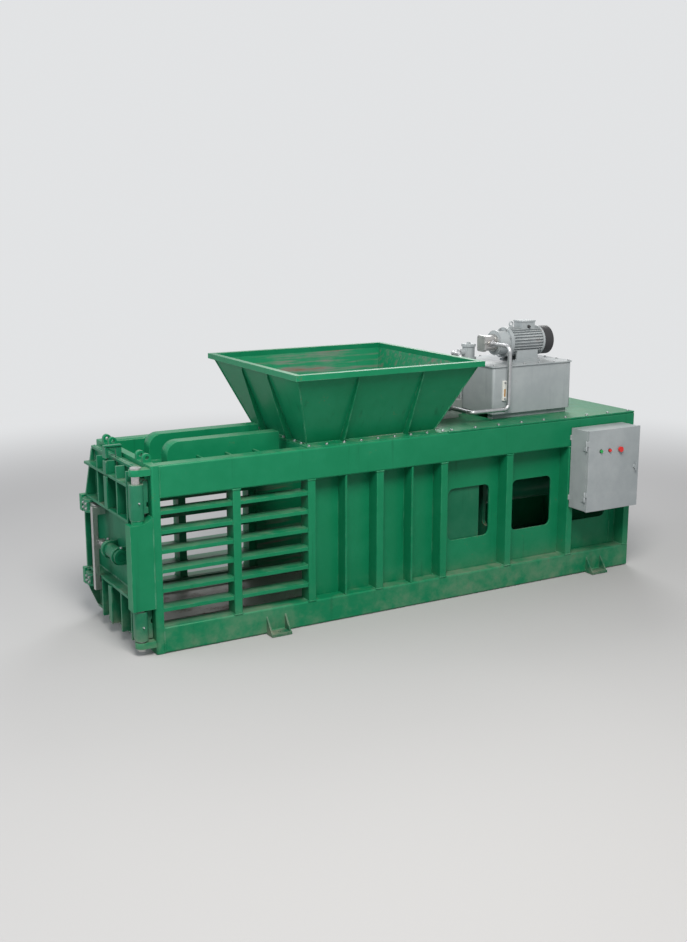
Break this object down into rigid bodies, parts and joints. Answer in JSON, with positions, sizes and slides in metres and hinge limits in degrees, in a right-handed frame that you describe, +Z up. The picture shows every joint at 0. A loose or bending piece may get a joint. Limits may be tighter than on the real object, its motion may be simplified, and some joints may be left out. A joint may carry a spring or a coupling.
{
  "type": "horizontal waste baler",
  "caption": "Horizontal baler: slotted press chamber, side-hinged ribbed door with sliding bolt lock, feed hopper, hydraulic ram, power unit and control cabinet.",
  "frame": {"origin": "on the ground, at the centre of the rectangle of anchor holes in the four foot plates", "axes": "+X along the machine from the door end to the rear, +Y across it to the side away from the cabinet, +Z up"},
  "size_m": [4.465, 1.553, 2.102],
  "materials": {
    "frame_paint": "gloss enamel, worn at the edges",
    "door_paint": "gloss enamel, scuffed",
    "inner_paint": "dull enamel",
    "plain_steel": "mill finish, polished by use",
    "bright_steel": "hard chromed and ground",
    "unit_paint": "semi-gloss",
    "dark_plastic": "moulded",
    "bearing_bronze": "machined",
    "pipe_steel": "drawn",
    "gauge_white": "moulded",
    "switchgear": "moulded",
    "start_green": "moulded",
    "stop_red": "moulded"
  },
  "bodies": {
    "frame": {"base_rails": "frame_paint", "base_cross_members": "inner_paint", "anchor_feet": "inner_paint", "top_rails": "frame_paint", "side_posts": "frame_paint", "cross_beams": "frame_paint", "floor_plate": "plain_steel", "feed_walls": "frame_paint", "tie_bars": "frame_paint", "chamber_roof": "frame_paint", "roof_stiffeners": "frame_paint", "roof_ribs": "frame_paint", "rear_walls": "frame_paint", "hopper": "frame_paint", "fixed_shear_blade": "plain_steel", "cylinder_support": "inner_paint", "rear_crosshead": "frame_paint", "press_barrel": "inner_paint", "press_gland": "plain_steel", "frame_bolts": "plain_steel", "rear_deck": "frame_paint", "oil_tank": "unit_paint", "tank_lid": "unit_paint", "level_gauge": "gauge_white", "return_filter": "unit_paint", "motor_body": "unit_paint", "fan_cowl": "dark_plastic", "bell_housing": "unit_paint", "pump": "plain_steel", "valve_block": "plain_steel", "pressure_gauge": "plain_steel", "hydraulic_pipes": "pipe_steel", "pipe_clamps": "unit_paint", "hinge_brackets": "frame_paint", "hinge_pin": "plain_steel", "lock_keepers": "frame_paint", "cabinet_box": "unit_paint", "cabinet_gear": "switchgear"},
    "door": {"door_leaf": "door_paint", "door_ribs": "door_paint", "door_shelves": "door_paint", "door_knuckles": "door_paint", "lock_guides": "door_paint", "lock_barrel": "inner_paint"},
    "lock": {"lock_rod": "bright_steel", "lock_bolts": "plain_steel"},
    "ram": {"ram_body": "inner_paint", "ram_slippers": "bearing_bronze", "ram_blade": "plain_steel", "ram_cover": "inner_paint", "press_rod": "bright_steel"},
    "motor_rotor": {"motor_fan": "dark_plastic", "motor_shaft": "plain_steel"},
    "filler_cap": {"filler_cap": "dark_plastic"},
    "press_lever": {"press_lever": "dark_plastic"},
    "lock_lever": {"lock_lever": "dark_plastic"},
    "cabinet_door": {"cabinet_door": "unit_paint"},
    "start_button": {"start_button": "start_green"},
    "stop_button": {"stop_button": "stop_red"},
    "emergency_stop": {"emergency_stop": "stop_red"}
  },
  "joints": [
    {"name": "door_swing", "type": "hinge", "parent": "frame", "child": "door", "pos_m": [-2.51, -0.51, 0.68], "axis": [0, 0, 1], "range_deg": [0, 120]},
    {"name": "lock_slide", "type": "slide", "parent": "door", "child": "lock", "axis": [0, 1, 0], "range_m": [0, 0.095]},
    {"name": "ram_slide", "type": "slide", "parent": "frame", "child": "ram", "axis": [-1, 0, 0], "range_m": [0, 1.25]},
    {"name": "motor_spin", "type": "hinge", "parent": "frame", "child": "motor_rotor", "pos_m": [0.97, -0.09, 1.932], "axis": [1, 0, 0], "continuous": true},
    {"name": "cap_turn", "type": "hinge", "parent": "frame", "child": "filler_cap", "pos_m": [1.26, 0.19, 1.772], "axis": [0, 0, 1], "range_deg": [0, 90]},
    {"name": "press_lever_swing", "type": "hinge", "parent": "frame", "child": "press_lever", "pos_m": [0.27, 0, 1.522], "axis": [1, 0, 0], "range_deg": [-20, 20], "stiffness_Nm_per_rad": 12},
    {"name": "lock_lever_swing", "type": "hinge", "parent": "frame", "child": "lock_lever", "pos_m": [0.37, 0, 1.522], "axis": [1, 0, 0], "range_deg": [-20, 20], "stiffness_Nm_per_rad": 12},
    {"name": "cabinet_door_swing", "type": "hinge", "parent": "frame", "child": "cabinet_door", "pos_m": [1.191, -0.764, 0.93], "axis": [0, 0, -1], "range_deg": [0, 110]},
    {"name": "start_button_push", "type": "slide", "parent": "cabinet_door", "child": "start_button", "axis": [0, 1, 0], "range_m": [0, 0.005], "stiffness_N_per_m": 400},
    {"name": "stop_button_push", "type": "slide", "parent": "cabinet_door", "child": "stop_button", "axis": [0, 1, 0], "range_m": [0, 0.005], "stiffness_N_per_m": 400},
    {"name": "emergency_stop_push", "type": "slide", "parent": "cabinet_door", "child": "emergency_stop", "axis": [0, 1, 0], "range_m": [0, 0.005], "stiffness_N_per_m": 400}
  ]
}
